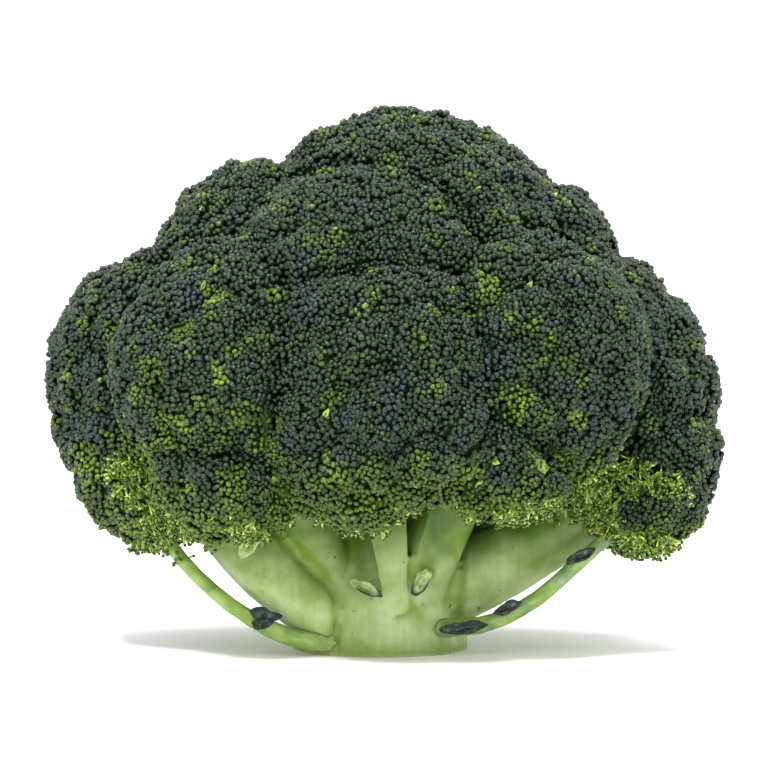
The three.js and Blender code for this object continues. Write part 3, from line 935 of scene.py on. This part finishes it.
def make_stem(node, material, slot, voxel, rounds):
    """A CAD stem grown into one smooth skin, with its folds, height and cut face stored for the material. The
    stalk stands on its cut, so its edge is pressed flat again after the smoothing."""
    edge_height = 0.8 * MM
    extra_rounds = 24
    stem = copy_of(node, node + "_skin")
    apply_modifier(stem, "REMESH", mode="VOXEL", voxel_size=voxel)
    foot = points_of(stem)[:, 2].min()
    apply_modifier(stem, "SMOOTH", factor=0.5, iterations=rounds)
    points, normals = points_of(stem), normals_of(stem)

    # A fold is where still more smoothing would fill the skin up.
    apply_modifier(stem, "SMOOTH", factor=0.5, iterations=extra_rounds)
    fold = np.sum((points_of(stem) - points) * normals, axis=1)

    standing = node == "stalk"
    if standing:
        points = blend_front_stem(points)
    up_the_stem = points * [1, 1, 0.25]
    ripple = 0.2 * MM * noise_at(up_the_stem, 7 * MM) + 0.04 * MM * noise_at(up_the_stem, 1.8 * MM, 2.0)
    groove = 0.6 * fold + 2.2 * np.clip(fold, 0, 0.4 * MM)
    # The crease share paints the folds yellower and darker, partly their own tint and partly painted shade;
    # at the foot it paints the lime band by the cut.
    crease = 0.8 * smoothstep(0.05 * MM, 0.3 * MM, fold)
    if standing:
        front = smoothstep(0.0, 0.5, -normals[:, 1]) * smoothstep(2 * MM, 8 * MM, -points[:, 1])
        for run in FRONT_FOLDS:
            off = distance_to_run(points[:, [0, 2]], np.array(run) * MM)
            groove += 0.6 * MM * front * np.exp(-(off / (0.9 * MM)) ** 2)
            crease = np.maximum(crease, 0.7 * front * np.exp(-(off / (1.1 * MM)) ** 2))
        crease = np.maximum(crease, 0.7 * (1 - smoothstep(1 * MM, 5 * MM, points[:, 2])))
    points = points + normals * (ripple - groove)[:, None]
    if standing:
        height = points[:, 2] - foot
        points[:, 2] = foot + np.clip(np.minimum(height, 2 * (height - edge_height)), 0, None)
    set_points(stem, points)
    # The rise turns the stalk leaf green towards the crown, partly its own colour and partly painted shade
    # from the crown above.
    rise = smoothstep(11 * MM, 32 * MM, points[:, 2] + 3 * MM * noise_at(points, 12 * MM, 4.0))
    bare = 1 - smoothstep(0.0, 0.3 * MM, points[:, 2] - foot) if standing else 0
    paint(stem, "skin", crease, rise, bare)
    finish_piece(stem, material, slot, node)


def own_axes(points):
    """The middle of a small piece, and its long, broad and thin ways, the thin one pointing off the stalk."""
    middle = points.mean(axis=0)
    long_way, broad_way, thin_way = np.linalg.svd(points - middle, full_matrices=False)[2]
    if np.dot(thin_way, middle * [1, 1, 0]) < 0:
        thin_way = -thin_way
    return middle, long_way, broad_way, thin_way


def make_leaves(dried, young):
    """The leaves, stubs and scars on the stems: pointed, ragged at the edge and sunk along the middle."""
    for node in LEAVES:
        leaf = copy_of(node, node + "_blade")
        regrow(leaf, voxel=0.25 * MM, rounds=5)
        points = points_of(leaf)
        middle, long_way, broad_way, thin_way = own_axes(points)
        local = (points - middle) @ np.stack([long_way, broad_way, thin_way]).T
        half = np.abs(local).max(axis=0)
        reach = np.hypot(local[:, 0] / half[0], local[:, 1] / half[1])  # 0 in the middle, 1 at the edge
        outer = smoothstep(-0.3, 0.6, local[:, 2] / half[2])
        sink = (0.4 if node in FRESH_LEAVES else 0.9) * half[2] * outer * (1 - smoothstep(0.1, 0.7, reach))
        flat = unit(local[:, :1] * long_way + local[:, 1:2] * broad_way)
        turn = np.arctan2(local[:, 1] / half[1], local[:, 0] / half[0])
        corners = 3 if node == "leaf_scar_left" else 2
        pointed = 0.4 * half[1] * np.abs(np.cos(corners * turn / 2)) ** 3
        tear = (pointed + 0.7 * MM * noise_at(points, 1.8 * MM, 5.0)) * smoothstep(0.3, 1.0, reach)
        points = points - thin_way * (sink + 0.4 * local[:, 2])[:, None] + flat * tear[:, None]
        set_points(leaf, points)
        edge = smoothstep(0.5, 0.85, reach)
        below = (middle[2] - points[:, 2]) / np.abs(points[:, 2] - middle[2]).max()
        pale = 1 - edge * smoothstep(-0.35, 0.15, below) if node in STUBS else 0
        paint(leaf, "leaf", edge, pale)
        finish_piece(leaf, young if node in FRESH_LEAVES else dried, "leaf", node)


# ---------------------------------------------------------------- the studio

def soft_light(name, place, size, power):
    """A round lamp that faces the middle of the head."""
    light = bpy.data.lights.new(name, "AREA")
    light.shape = "DISK"
    light.size = size
    light.energy = power
    lamp = bpy.data.objects.new(name, light)
    lamp.location = place
    lamp.rotation_euler = (Vector((0, 0, 70 * MM)) - Vector(place)).to_track_quat("-Z", "Y").to_euler()
    bpy.context.collection.objects.link(lamp)


def make_studio():
    """A white floor in a white room, lit softly all round, with a small lamp for the gleam on the wax."""
    floor_material = bpy.data.materials.new("matt_white_paper")
    floor_material.use_nodes = True
    tree = floor_material.node_tree
    shader = tree.nodes["Principled BSDF"]
    shader.inputs["Roughness"].default_value = 0.9
    place = add_node(tree, "TexCoord").outputs["Object"]
    fibres = add_node(tree, "TexNoise", {"Scale": 1 / MM}, {"Vector": place})
    paper = add_node(tree, "ValToRGB", {"stops": [(0.3, "fafaf9"), (0.7, "fcfcfc")]}, {"Fac": fibres})
    tree.links.new(paper.outputs[0], shader.inputs["Base Color"])
    deselect_all()
    bpy.ops.mesh.primitive_plane_add(size=12, location=(0, 0, 0))
    floor = bpy.context.active_object
    floor.name = "floor"
    floor.data.materials.append(floor_material)

    world = bpy.data.worlds.new("white_room")
    bpy.context.scene.world = world
    world.use_nodes = True
    sky = world.node_tree.nodes["Background"]
    sky.inputs["Color"].default_value = (1, 1, 1, 1)
    sky.inputs["Strength"].default_value = 1.36
    soft_light("key_light", (-0.25, -0.8, 1.05), size=0.2, power=20)
    soft_light("fill_light", (0.9, -0.6, 0.6), size=0.8, power=2)
    soft_light("top_light", (0.1, 0.3, 1.2), size=0.5, power=7)


def make_camera():
    """A metre in front of the head and just above level, with a long lens that draws it nearly without
    perspective."""
    camera = bpy.data.cameras.new("camera")
    camera.lens = 196.5
    camera.sensor_width = 36
    camera.clip_start = 0.01
    eye = bpy.data.objects.new("camera", camera)
    target = Vector((1.0 * MM, 0, 63.3 * MM))
    tilt = math.radians(2.5)
    eye.location = target + Vector((0, -math.cos(tilt), math.sin(tilt)))
    eye.rotation_euler = (target - eye.location).to_track_quat("-Z", "Y").to_euler()
    bpy.context.collection.objects.link(eye)
    bpy.context.scene.camera = eye
    bpy.context.scene.view_settings.view_transform = "Standard"


make_camera()
make_studio()

stalk_material = make_stalk_material()
shoot_material = make_shoot_material()
young_leaf_material = make_young_leaf_material()

skin = make_crown_skin()
crown = Crown(skin)
bpy.data.objects.remove(skin)
bud_material = make_bud_material()
spray_material = make_spray_material()
buds = make_buds(crown, bud_material)
make_cores(crown, make_core_material())
make_sprays(crown, spray_material, bud_material)
make_branchlets(crown, stalk_material)
make_stray_leaves(*buds, spray_material)

make_stem("stalk", stalk_material, "stalk", voxel=0.8 * MM, rounds=11)
for shoot in SHOOTS:
    make_stem(shoot, shoot_material, "shoot", voxel=0.4 * MM, rounds=6)
make_leaves(make_leaf_material(), young_leaf_material)

bpy.context.view_layer.update()
